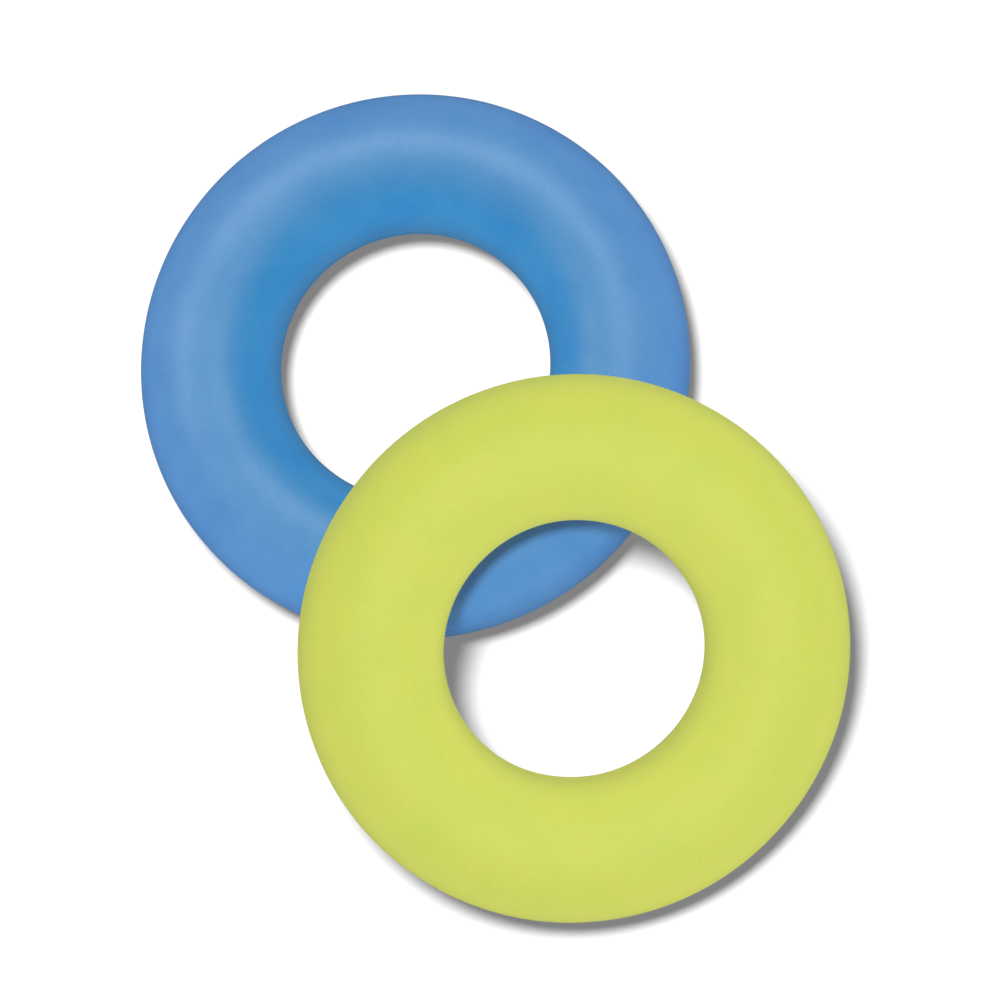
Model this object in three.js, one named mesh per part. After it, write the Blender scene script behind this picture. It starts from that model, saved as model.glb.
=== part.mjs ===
// A pair of soft juggling rings of one design, one blue and one lime green.
// Each ring is a fat round-section ring: a moulded foam core inside a smooth
// coated skin. The skin is made as an upper and a lower half that meet on the
// mould parting line, which runs round the outer and the inner equator.
// The blue ring lies flat. The lime ring leans on it: its far edge stands on
// the same surface and its near edge rests on the blue ring's tube.
// Millimetres, +Z up, origin on the resting surface at the middle of the pair.

import * as THREE from 'three';

// ---- driving dimensions ------------------------------------------------

// blue ring
const BLUE_CENTRELINE_R = 66.77; // radius of the circle that the tube follows
const BLUE_TUBE_R = 23.2; // half the thickness of the tube

// lime ring, moulded a touch fatter
const LIME_CENTRELINE_R = 66.24;
const LIME_TUBE_R = 23.76;

// build of both rings
const SKIN_T = 1.5; // thickness of the coated skin
const CORE_CLEARANCE = 0.3; // between the foam core and the skin
const PARTING_GAP = 0.3; // between the two skin halves, on the equator

// how the pair lies
const HEADING_DEG = -60.7; // plan direction from the blue centre to the lime centre
const CENTRE_SPACING = 113.33; // plan distance between the two ring centres
const LEAN_DEG = 23.12; // tilt of the lime ring off the flat

// facets
const SECTION_SIDES = 16; // flats round the tube; one is centred on the underside
const RING_STEPS = 48; // steps round the ring

// ---- section profiles --------------------------------------------------

// Corner k of a section whose flats touch a circle of radius r. Flats are
// centred on the outer equator, the crown, the inner equator and the underside.
function corner(r, k) {
  const a = ((k + 0.5) * 2 * Math.PI) / SECTION_SIDES;
  const rc = r / Math.cos(Math.PI / SECTION_SIDES);
  return [rc * Math.cos(a), rc * Math.sin(a)];
}

// Whole section, for the foam core.
function coreSection(r) {
  const pts = [];
  for (let k = 0; k < SECTION_SIDES; k++) pts.push(corner(r, k));
  return pts;
}

// Half of a hollow section: side +1 is the upper half, -1 the lower half.
function skinSection(r, side) {
  const half = SECTION_SIDES / 2;
  const ri = r - SKIN_T;
  const edge = PARTING_GAP / 2;
  const pts = [[r, edge]];
  for (let k = 0; k < half; k++) pts.push(corner(r, k));
  pts.push([-r, edge], [-ri, edge]);
  for (let k = half - 1; k >= 0; k--) pts.push(corner(ri, k));
  pts.push([ri, edge]);
  return side > 0 ? pts : pts.map(([x, y]) => [x, -y]).reverse();
}

// Revolve a section round the ring's axis, with that axis upright.
function revolve(section, centrelineR) {
  const profile = section.map(([x, y]) => new THREE.Vector2(centrelineR + x, y));
  profile.push(profile[0].clone());
  const g = new THREE.LatheGeometry(profile, RING_STEPS);
  g.rotateX(Math.PI / 2);
  return g;
}

// ---- materials ---------------------------------------------------------

const blueSkin = new THREE.MeshStandardMaterial({ color: 0x5a97cd, roughness: 0.5, metalness: 0 });
const limeSkin = new THREE.MeshStandardMaterial({ color: 0xd5da64, roughness: 0.6, metalness: 0 });
const foam = new THREE.MeshStandardMaterial({ color: 0xe6e0cf, roughness: 0.95, metalness: 0 });

// ---- one ring ----------------------------------------------------------

function ring(name, centrelineR, tubeR, skinMaterial) {
  const g = new THREE.Group();
  const add = (node, geometry, material) => {
    const m = new THREE.Mesh(geometry, material);
    m.name = node;
    g.add(m);
  };
  add(`${name}_foam_core`, revolve(coreSection(tubeR - SKIN_T - CORE_CLEARANCE), centrelineR), foam);
  add(`${name}_skin_upper`, revolve(skinSection(tubeR, 1), centrelineR), skinMaterial);
  add(`${name}_skin_lower`, revolve(skinSection(tubeR, -1), centrelineR), skinMaterial);
  return g;
}

// ---- the pair ----------------------------------------------------------

const pair = new THREE.Group();

// the blue ring stands on the underside of its tube
const blue = ring('blue', BLUE_CENTRELINE_R, BLUE_TUBE_R, blueSkin);
blue.position.set(0, 0, BLUE_TUBE_R);
pair.add(blue);

// the lime ring is turned to its heading, leaned, and lowered on to its far edge
const lime = ring('lime', LIME_CENTRELINE_R, LIME_TUBE_R, limeSkin);
const heading = new THREE.Group();
heading.rotation.z = THREE.MathUtils.degToRad(HEADING_DEG);
lime.rotation.y = THREE.MathUtils.degToRad(LEAN_DEG);
lime.position.set(CENTRE_SPACING, 0, 0);
heading.add(lime);
heading.updateMatrixWorld(true);
lime.position.z = -new THREE.Box3().setFromObject(heading, true).min.z;
pair.add(heading);

// origin on the resting surface, under the middle of the pair's box
pair.updateMatrixWorld(true);
const box = new THREE.Box3().setFromObject(pair, true);
pair.position.set(-(box.min.x + box.max.x) / 2, -(box.min.y + box.max.y) / 2, 0);
pair.updateMatrixWorld(true);

export default pair;
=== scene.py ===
import math

import bpy
import numpy as np
from mathutils import Matrix, Vector


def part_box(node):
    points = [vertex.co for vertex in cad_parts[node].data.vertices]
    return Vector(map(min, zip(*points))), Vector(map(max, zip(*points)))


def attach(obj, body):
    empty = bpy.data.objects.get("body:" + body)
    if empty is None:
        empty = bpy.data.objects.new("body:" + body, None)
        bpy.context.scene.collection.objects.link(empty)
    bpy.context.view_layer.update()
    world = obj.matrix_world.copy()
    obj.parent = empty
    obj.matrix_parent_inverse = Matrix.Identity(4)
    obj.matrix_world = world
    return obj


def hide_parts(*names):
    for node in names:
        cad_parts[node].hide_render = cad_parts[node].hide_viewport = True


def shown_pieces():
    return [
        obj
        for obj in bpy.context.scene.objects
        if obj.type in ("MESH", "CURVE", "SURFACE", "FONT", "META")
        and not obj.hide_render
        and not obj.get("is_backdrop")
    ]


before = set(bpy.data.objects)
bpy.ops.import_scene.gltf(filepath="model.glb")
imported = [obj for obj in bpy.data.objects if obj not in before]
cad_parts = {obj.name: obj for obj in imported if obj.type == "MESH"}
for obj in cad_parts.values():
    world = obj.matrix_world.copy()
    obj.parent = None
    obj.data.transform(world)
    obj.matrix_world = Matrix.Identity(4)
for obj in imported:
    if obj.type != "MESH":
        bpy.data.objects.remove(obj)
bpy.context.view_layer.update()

# ---------------------------------------------------------------- the two rings, from the CAD frame
MM = 0.001
HEADING = math.radians(-60.7)      # plan direction from the blue centre to the lime centre
LEAN = math.radians(23.12)         # tilt of the lime ring
PROUD = 0.3 * MM                   # the soft skin stands this proud of the flats of the CAD section
SKIN_T = 1.5 * MM

U = Vector((math.cos(HEADING), math.sin(HEADING), 0))
V = Vector((0, 0, 1)).cross(U)


def centre(node):
    lo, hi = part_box(node)
    return (lo + hi) / 2


# flat: the soft tube is a touch narrower across the band than it is tall (the crown and the underside stay
# where the CAD has them)
RINGS = {
    "blue": dict(R=67.30 * MM, r=23.2 * MM + PROUD, flat=0.9745, body="blue_ring",
                 place=Matrix.Translation(centre("blue_foam_core"))),
    "lime": dict(R=66.58 * MM, r=23.76 * MM + PROUD, flat=0.9861, body="lime_ring",
                 place=Matrix.Translation(centre("lime_foam_core"))
                 @ Matrix.Rotation(HEADING, 4, "Z") @ Matrix.Rotation(LEAN, 4, "Y")),
}

# ---------------------------------------------------------------- camera
LENS = 1000.0
ALPHA = LEAN / 2                   # the view halves the angle between the two rings' axes
PX = 0.3263 * MM                   # real size of one picture element at the rings
BACK = (U * math.sin(ALPHA) + Vector((0, 0, 1)) * math.cos(ALPHA)).normalized()
UP_SLOPE = (U * math.cos(ALPHA) - Vector((0, 0, 1)) * math.sin(ALPHA)).normalized()
PHI = math.radians(60.72)
RIGHT = UP_SLOPE * math.cos(PHI) + V * math.sin(PHI)
UP = -UP_SLOPE * math.sin(PHI) + V * math.cos(PHI)

blue_c = RINGS["blue"]["place"].translation
lime_c = RINGS["lime"]["place"].translation
mid = (blue_c + lime_c) / 2
# the middle of the two ring centres lies at (494.6, 507.2) in a 1000 x 1000 picture
target = mid - RIGHT * ((494.6 - 500) * PX) + UP * ((507.2 - 500) * PX)
cam_data = bpy.data.cameras.new("camera")
cam_data.lens = LENS
cam_data.sensor_width = 36.0
cam_data.clip_start = 0.1
cam_data.clip_end = 60.0
cam = bpy.data.objects.new("camera", cam_data)
bpy.context.scene.collection.objects.link(cam)
dist = 1000 * PX * LENS / 36.0
m = Matrix.Identity(4)
for i in range(3):
    m[i][0], m[i][1], m[i][2] = RIGHT[i], UP[i], BACK[i]
    m[i][3] = target[i] + BACK[i] * dist
cam.matrix_world = m
bpy.context.scene.camera = cam

# ---------------------------------------------------------------- ring geometry
RING_STEPS = 288


def smooth_max(a, b, k):
    """max(a, b) with the corner rounded over a width k."""
    return 0.5 * (a + b + np.sqrt((a - b) ** 2 + k * k))


def wobble(phi, ang, seed, amp):
    """Low, slow unevenness of a moulded soft ring: a few smooth waves round the ring and round the tube."""
    rng = np.random.default_rng(seed)
    out = np.zeros_like(phi)
    for _ in range(14):
        n, k = int(rng.integers(1, 9)), int(rng.integers(0, 4))
        out += rng.normal() / (1 + 0.35 * n) * np.cos(n * phi + k * ang + rng.uniform(0, 2 * math.pi))
    return amp * out / 2.0


def lay_down(place, pts):
    """Puts a ring in its place in the row frame, and flattens the tube where it rests: no point goes below
    the surface, with a soft edge to the flat."""
    w = np.array([list(row) for row in place])
    p = pts @ w[:3, :3].T + w[:3, 3]
    low = p[:, 2] < 1.2 * MM
    z = p[:, 2].copy()
    z[low] = smooth_max(z[low], 0.0, 0.10 * MM) - 0.5 * (np.sqrt((1.2 * MM) ** 2 + (0.10 * MM) ** 2) - 1.2 * MM)
    p[:, 2] = np.maximum(z, 0.0)
    return p


def revolve(name, section, R, flat, place, seed, amp, steps=RING_STEPS):
    """A closed ring from a closed section [(angle, radius)], counter-clockwise, about local Z."""
    n = len(section)
    ang = np.array([a for a, _ in section])
    rad = np.array([r for _, r in section])
    phi = np.arange(steps) * 2 * math.pi / steps
    PHI_, ANG = np.meshgrid(phi, ang, indexing="ij")
    RAD = np.broadcast_to(rad, PHI_.shape) + wobble(PHI_, ANG, seed, amp)
    rho = R + flat * RAD * np.cos(ANG)
    pts = np.stack([rho * np.cos(PHI_), rho * np.sin(PHI_), RAD * np.sin(ANG)], -1).reshape(-1, 3)
    pts = lay_down(place, pts)
    i = np.arange(steps)[:, None]
    j = np.arange(n)[None, :]
    a = i * n + j
    b = ((i + 1) % steps) * n + j
    c = ((i + 1) % steps) * n + (j + 1) % n
    d = i * n + (j + 1) % n
    faces = np.stack([a, b, c, d], -1).reshape(-1, 4)
    me = bpy.data.meshes.new(name)
    me.from_pydata(pts.tolist(), [], faces.tolist())
    me.validate()
    me.update()
    me.shade_smooth()
    ob = bpy.data.objects.new(name, me)
    bpy.context.scene.collection.objects.link(ob)
    return ob


def shell_section(r, side):
    """Half of the coated skin. The outside runs from the outer equator over the crown to the inner equator,
    with a rolled lip and a fine raised flash beside the parting line; the inside follows 1.5 mm in."""
    lip = 0.55 * MM / r            # the lip's width, as an angle
    gap = 0.05 * MM / r
    outer = []
    # the lip: a quarter round that drops into the parting groove, then a low flash bead
    for t in np.linspace(0, 1, 6):
        a = gap + lip * (1 - math.cos(t * math.pi / 2))
        outer.append((a, r - 0.42 * MM * (1 - math.sin(t * math.pi / 2))))
    for a_mm, h in ((0.8, 0.05), (1.05, 0.09), (1.3, 0.05), (1.7, 0.0)):
        outer.append((a_mm * MM / r, r + h * MM * (1.0 if side > 0 else 0.35)))
    start = outer[-1][0]
    body = [(a, r) for a in np.linspace(start, math.pi - start, 58)[1:-1]]
    half = outer + body + [(math.pi - a, q) for a, q in reversed(outer)]
    ri = r - SKIN_T
    inner = [(a, ri) for a in np.linspace(math.pi - gap, gap, 30)]
    sec = half + inner
    if side < 0:
        sec = [(-a, q) for a, q in reversed(sec)]
    return sec


def core_section(r):
    return [(a, r) for a in np.linspace(0, 2 * math.pi, 56, endpoint=False)]


# ---------------------------------------------------------------- materials
def nodes_of(name):
    mat = bpy.data.materials.new(name)
    mat.use_nodes = True
    nt = mat.node_tree
    nt.nodes.clear()
    out = nt.nodes.new("ShaderNodeOutputMaterial")
    bsdf = nt.nodes.new("ShaderNodeBsdfPrincipled")
    nt.links.new(bsdf.outputs[0], out.inputs["Surface"])
    return mat, nt, bsdf


def add(nt, kind, **props):
    n = nt.nodes.new(kind)
    for k, v in props.items():
        setattr(n, k, v)
    return n


def math_node(nt, op, a, b=None, clamp=False):
    n = add(nt, "ShaderNodeMath", operation=op, use_clamp=clamp)
    for i, x in enumerate((a, b)):
        if x is None:
            continue
        if isinstance(x, (int, float)):
            n.inputs[i].default_value = x
        else:
            nt.links.new(x, n.inputs[i])
    return n.outputs[0]


def ramp(nt, fac, stops, interp="LINEAR"):
    n = add(nt, "ShaderNodeValToRGB")
    cr = n.color_ramp
    cr.interpolation = interp
    while len(cr.elements) > 1:
        cr.elements.remove(cr.elements[-1])
    for i, (p, c) in enumerate(stops):
        e = cr.elements[0] if i == 0 else cr.elements.new(p)
        e.position = p
        e.color = (*c, 1) if len(c) == 3 else c
    nt.links.new(fac, n.inputs[0])
    return n.outputs[0]


def ring_coordinates(nt, place):
    """The ring's own coordinates, with its axis along Z and its centre at 0, from the row frame's."""
    tc = add(nt, "ShaderNodeTexCoord")
    mp = add(nt, "ShaderNodeMapping", vector_type="TEXTURE")
    mp.inputs["Location"].default_value = place.translation
    mp.inputs["Rotation"].default_value = place.to_euler("XYZ")
    nt.links.new(tc.outputs["Object"], mp.inputs["Vector"])
    return mp.outputs["Vector"]


def skin_material(name, ring, tones, patch, rough, seed, spec=0.5, coat=0.0, sheen=0.0, grain=1.0, sss=0.0):
    """A soft coated skin. tones: colours from the hole's wall (0), over the crown, to the outside (1), which carry
    painted shade and painted light across the band as well as the skin's own colour.
    """
    mat, nt, bsdf = nodes_of(name)
    R, r = ring["R"], ring["r"] * ring["flat"]
    co = ring_coordinates(nt, ring["place"])
    sep = add(nt, "ShaderNodeSeparateXYZ")
    nt.links.new(co, sep.inputs[0])
    x2 = math_node(nt, "MULTIPLY", sep.outputs[0], sep.outputs[0])
    y2 = math_node(nt, "MULTIPLY", sep.outputs[1], sep.outputs[1])
    rho = math_node(nt, "SQRT", math_node(nt, "ADD", x2, y2))
    # 0 at the hole's wall, 1 at the outer equator
    t = math_node(nt, "MULTIPLY", math_node(nt, "SUBTRACT", rho, R - r), 1 / (2 * r), clamp=True)
    # the base colour follows the tones across the band: painted shade and painted light, in the ring's own
    # coordinates
    base = ramp(nt, t, tones, "B_SPLINE")

    # slow mottling of the pigment, and finer speckle in the coat
    mott = add(nt, "ShaderNodeTexNoise", noise_dimensions="4D")
    mott.inputs["W"].default_value = seed
    mott.inputs["Scale"].default_value = 55.0
    mott.inputs["Detail"].default_value = 4.0
    mott.inputs["Roughness"].default_value = 0.55
    nt.links.new(co, mott.inputs["Vector"])
    fine = add(nt, "ShaderNodeTexNoise", noise_dimensions="4D")
    fine.inputs["W"].default_value = seed + 3.1
    fine.inputs["Scale"].default_value = 900.0
    fine.inputs["Detail"].default_value = 3.0
    nt.links.new(co, fine.inputs["Vector"])

    mix1 = add(nt, "ShaderNodeMix", data_type="RGBA", blend_type="MIX")
    nt.links.new(ramp(nt, mott.outputs["Fac"], [(0.42, (0, 0, 0)), (0.72, (1, 1, 1))]), mix1.inputs["Factor"])
    nt.links.new(base, mix1.inputs["A"])
    hsv = add(nt, "ShaderNodeHueSaturation")
    hsv.inputs["Hue"].default_value = patch[0]
    hsv.inputs["Saturation"].default_value = patch[1]
    hsv.inputs["Value"].default_value = patch[2]
    nt.links.new(base, hsv.inputs["Color"])
    nt.links.new(hsv.outputs[0], mix1.inputs["B"])

    # faint pale scuffs that follow the handling of the ring
    scuff = add(nt, "ShaderNodeTexNoise", noise_dimensions="4D")
    scuff.inputs["W"].default_value = seed + 7.7
    scuff.inputs["Scale"].default_value = 26.0
    scuff.inputs["Detail"].default_value = 9.0
    scuff.inputs["Roughness"].default_value = 0.68
    scuff.inputs["Distortion"].default_value = 0.9
    nt.links.new(co, scuff.inputs["Vector"])
    worn = ramp(nt, scuff.outputs["Fac"], [(0.60, (0, 0, 0)), (0.74, (1, 1, 1))])
    mix2 = add(nt, "ShaderNodeMix", data_type="RGBA", blend_type="SCREEN")
    nt.links.new(math_node(nt, "MULTIPLY", worn, 0.035), mix2.inputs["Factor"])
    nt.links.new(mix1.outputs["Result"], mix2.inputs["A"])
    mix2.inputs["B"].default_value = (0.8, 0.82, 0.85, 1)

    # leathery grain: small rounded cells, with painted shade darkening their creases
    warp = add(nt, "ShaderNodeVectorMath", operation="MULTIPLY_ADD")
    nt.links.new(fine.outputs["Color"], warp.inputs[0])
    warp.inputs[1].default_value = (0.0004, 0.0004, 0.0004)
    nt.links.new(co, warp.inputs[2])
    cells = add(nt, "ShaderNodeTexVoronoi", feature="DISTANCE_TO_EDGE")
    cells.inputs["Scale"].default_value = 950.0
    nt.links.new(warp.outputs[0], cells.inputs["Vector"])
    pebble = ramp(nt, cells.outputs["Distance"], [(0.0, (0, 0, 0)), (0.16, (0.75, 0.75, 0.75)), (0.5, (1, 1, 1))], "EASE")
    mix3 = add(nt, "ShaderNodeMix", data_type="RGBA", blend_type="MULTIPLY")
    mix3.inputs["Factor"].default_value = 1.0
    nt.links.new(mix2.outputs["Result"], mix3.inputs["A"])
    # painted shade in the grain's creases
    crease_shade = 1 - 0.07 * grain
    nt.links.new(ramp(nt, pebble, [(0.0, (crease_shade, crease_shade, crease_shade)), (0.8, (1, 1, 1))]), mix3.inputs["B"])
    nt.links.new(mix3.outputs["Result"], bsdf.inputs["Base Color"])

    # roughness: satin, drier in the creases and on the scuffs
    ro = math_node(nt, "ADD", math_node(nt, "MULTIPLY", mott.outputs["Fac"], 0.10), rough - 0.05)
    ro = math_node(nt, "ADD", ro, math_node(nt, "MULTIPLY", worn, 0.07))
    ro = math_node(nt, "ADD", ro, math_node(nt, "MULTIPLY", math_node(nt, "SUBTRACT", 1.0, pebble), 0.06), clamp=True)
    nt.links.new(ro, bsdf.inputs["Roughness"])

    # relief: grain, then slow ripples in the coat
    b1 = add(nt, "ShaderNodeBump")
    b1.inputs["Strength"].default_value = 0.55 * grain
    b1.inputs["Distance"].default_value = 0.00004
    nt.links.new(pebble, b1.inputs["Height"])
    b2 = add(nt, "ShaderNodeBump")
    b2.inputs["Strength"].default_value = 0.35
    b2.inputs["Distance"].default_value = 0.00012
    nt.links.new(mott.outputs["Fac"], b2.inputs["Height"])
    nt.links.new(b1.outputs[0], b2.inputs["Normal"])
    nt.links.new(b2.outputs[0], bsdf.inputs["Normal"])

    bsdf.inputs["Specular IOR Level"].default_value = spec
    bsdf.inputs["IOR"].default_value = 1.48
    if coat:
        bsdf.inputs["Coat Weight"].default_value = coat
        bsdf.inputs["Coat Roughness"].default_value = 0.35
    if sheen:
        bsdf.inputs["Sheen Weight"].default_value = sheen
        bsdf.inputs["Sheen Roughness"].default_value = 0.4
    if sss:
        bsdf.inputs["Subsurface Weight"].default_value = sss
        bsdf.inputs["Subsurface Radius"].default_value = (1.0, 1.0, 0.8)
        bsdf.inputs["Subsurface Scale"].default_value = 0.0025
    return mat


def foam_material(name, seed):
    """Cream cellular foam: open pores with painted shade darkening them, paler walls, matt."""
    mat, nt, bsdf = nodes_of(name)
    tc = add(nt, "ShaderNodeTexCoord")
    vo = add(nt, "ShaderNodeTexVoronoi", feature="F1")
    vo.inputs["Scale"].default_value = 700.0
    nt.links.new(tc.outputs["Object"], vo.inputs["Vector"])
    no = add(nt, "ShaderNodeTexNoise", noise_dimensions="4D")
    no.inputs["W"].default_value = seed
    no.inputs["Scale"].default_value = 60.0
    no.inputs["Detail"].default_value = 5.0
    nt.links.new(tc.outputs["Object"], no.inputs["Vector"])
    # painted shade: the pores are painted darker than the cell walls
    pores = ramp(nt, vo.outputs["Distance"], [(0.0, (0.50, 0.46, 0.37)), (0.35, (0.79, 0.75, 0.64)), (0.8, (0.86, 0.83, 0.73))])
    mx = add(nt, "ShaderNodeMix", data_type="RGBA", blend_type="MULTIPLY")
    mx.inputs["Factor"].default_value = 1.0
    nt.links.new(pores, mx.inputs["A"])
    nt.links.new(ramp(nt, no.outputs["Fac"], [(0.3, (0.93, 0.91, 0.86)), (0.7, (1, 1, 1))]), mx.inputs["B"])
    nt.links.new(mx.outputs["Result"], bsdf.inputs["Base Color"])
    nt.links.new(math_node(nt, "ADD", math_node(nt, "MULTIPLY", no.outputs["Fac"], 0.1), 0.86), bsdf.inputs["Roughness"])
    b = add(nt, "ShaderNodeBump")
    b.inputs["Strength"].default_value = 0.9
    b.inputs["Distance"].default_value = 0.0004
    nt.links.new(vo.outputs["Distance"], b.inputs["Height"])
    nt.links.new(b.outputs[0], bsdf.inputs["Normal"])
    bsdf.inputs["Specular IOR Level"].default_value = 0.25
    return mat


# blue skin colours across the band, with painted shade and painted light in them: lighter at both equators to cancel
# the shade where the tube turns from the overhead light, a darker, deeper blue on the inner slope as painted shade,
# and lighter over the outer crown as part painted highlight
BLUE_TONES_WITH_PAINTED_SHADE = [
    (0.00, (0.036, 0.385, 0.880)),
    (0.20, (0.037, 0.282, 0.636)),
    (0.40, (0.073, 0.286, 0.588)),
    (0.62, (0.099, 0.318, 0.640)),
    (0.82, (0.112, 0.325, 0.697)),
    (1.00, (0.098, 0.400, 0.940)),
]
# lime skin colours across the band, with painted light in them: lighter at both equators and darker over the crown,
# to cancel the shade where the tube turns from the lights, so that the ring reads as evenly lit
LIME_TONES_WITH_PAINTED_LIGHT = [
    (0.00, (0.880, 0.940, 0.152)),
    (0.20, (0.695, 0.750, 0.123)),
    (0.50, (0.640, 0.702, 0.114)),
    (0.80, (0.685, 0.745, 0.118)),
    (1.00, (0.860, 0.920, 0.142)),
]
blue_skin = skin_material("blue_skin_coat", RINGS["blue"], BLUE_TONES_WITH_PAINTED_SHADE,
                          (0.503, 1.03, 0.965), 0.42, 11.0, spec=0.80)
lime_skin = skin_material("lime_skin_coat", RINGS["lime"], LIME_TONES_WITH_PAINTED_LIGHT,
                          (0.512, 1.00, 0.985), 0.46, 29.0, spec=0.26, grain=0.5)
foam = foam_material("cellular_foam", 5.0)
SKINS = {"blue": blue_skin, "lime": lime_skin}

# ---------------------------------------------------------------- pieces
for k, (name, g) in enumerate(RINGS.items()):
    for side, word, cadname in ((1, "top", "upper"), (-1, "bottom", "lower")):
        ob = revolve(f"{name}_coat_{word}", shell_section(g["r"], side), g["R"], g["flat"], g["place"], 40 + k, 0.09 * MM)
        ob.data.materials.append(SKINS[name])
        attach(ob, g["body"])
        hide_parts(f"{name}_skin_{cadname}")
    core = revolve(f"{name}_foam_body", core_section(g["r"] - SKIN_T - 0.15 * MM), g["R"], g["flat"], g["place"], 40 + k, 0.09 * MM, steps=144)
    core.data.materials.append(foam)
    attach(core, g["body"])
    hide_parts(f"{name}_foam_core")

# ---------------------------------------------------------------- floor
fme = bpy.data.meshes.new("floor")
S = 12.0
fme.from_pydata([(-S, -S, 0), (S, -S, 0), (S, S, 0), (-S, S, 0)], [], [(0, 1, 2, 3)])
floor = bpy.data.objects.new("floor", fme)
floor.location.z = -0.00002
bpy.context.scene.collection.objects.link(floor)
fmat, fnt, fb = nodes_of("floor_white")
fb.inputs["Base Color"].default_value = (0.86, 0.86, 0.86, 1)
fb.inputs["Roughness"].default_value = 0.9
fb.inputs["Specular IOR Level"].default_value = 0.0
fme.materials.append(fmat)
floor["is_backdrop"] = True

# ---------------------------------------------------------------- light
world = bpy.data.worlds.new("studio")
bpy.context.scene.world = world
world.use_nodes = True
bg = world.node_tree.nodes["Background"]
bg.inputs[0].default_value = (1, 1, 1, 1)
bg.inputs[1].default_value = 0.10
bpy.context.scene.view_settings.view_transform = "Standard"
bpy.context.scene.view_settings.look = "None"


def aim(ob, direction, distance):
    d = Vector(direction).normalized()
    ob.location = Vector((0, 0, 0.03)) + d * distance
    ob.rotation_mode = "QUATERNION"
    ob.rotation_quaternion = d.to_track_quat("Z", "Y")


def from_picture(right, up, back=1.0):
    return RIGHT * right + UP * up + BACK * back


def area(name, direction, distance, size, energy, colour=(1, 1, 1)):
    li = bpy.data.lights.new(name, "AREA")
    li.shape = "DISK"
    li.size = size
    li.energy = energy
    li.color = colour
    ob = bpy.data.objects.new(name, li)
    bpy.context.scene.collection.objects.link(ob)
    aim(ob, direction, distance)
    ob.visible_camera = False
    return ob


def collection_of(name, word):
    c = bpy.data.collections.new(name)
    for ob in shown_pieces():
        if ob.name.startswith(word):
            c.objects.link(ob)
    return c


on_blue = collection_of("light_on_blue", "blue")
on_lime = collection_of("light_on_lime", "lime")

# the sheen on the blue crown: softboxes round the upper half of the picture, at (right, up)
# tangents of the angle off the view, seen in the gloss only
for k, (dx, dy, watts) in enumerate(((-1.37, 0.53, 2.9), (-0.91, 1.15, 2.6), (-0.25, 0.96, 2.4),
                                     (0.15, 0.80, 2.0), (0.22, 0.37, 1.9))):
    box = area(f"soft_arc_{k}", from_picture(dx, dy), 1.5, 0.55, watts)
    box.light_linking.receiver_collection = on_blue
    box.visible_diffuse = False
top_lime = area("soft_top_lime", from_picture(0.10, -0.12), 1.5, 1.9, 14.0)
top_lime.light_linking.receiver_collection = on_lime
glow_lime = area("soft_glow_lime", from_picture(0.12, 0.46), 1.5, 0.5, 1.3)
glow_lime.light_linking.receiver_collection = on_lime


def overhead(name, direction, energy, spread, receivers, glossy):
    data = bpy.data.lights.new(name, "SUN")
    data.energy = energy
    data.angle = math.radians(spread)
    ob = bpy.data.objects.new(name, data)
    bpy.context.scene.collection.objects.link(ob)
    aim(ob, direction, 3.0)
    ob.visible_glossy = glossy
    ob.light_linking.receiver_collection = receivers
    return ob


only_floor = bpy.data.collections.new("light_on_floor")
only_floor.objects.link(floor)
overhead("overhead_floor", from_picture(-0.132, 0.168), 3.2, 10, only_floor, True)
overhead("overhead_floor_wide", (0, 0, 1), 0.50, 120, only_floor, False)
overhead("overhead_blue", from_picture(-0.090, 0.105), 2.20, 7, on_blue, False)
overhead("overhead_blue_wide", (0, 0, 1), 0.70, 130, on_blue, False)
overhead("overhead_lime_wide", (0, 0, 1), 1.22, 130, on_lime, False)

# the shadows stay neutral, as the photograph's are: the rings throw no coloured light on the floor or
# each other, and the floor's glare stays off the rims
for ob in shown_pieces():
    ob.visible_diffuse = False
floor.visible_glossy = False
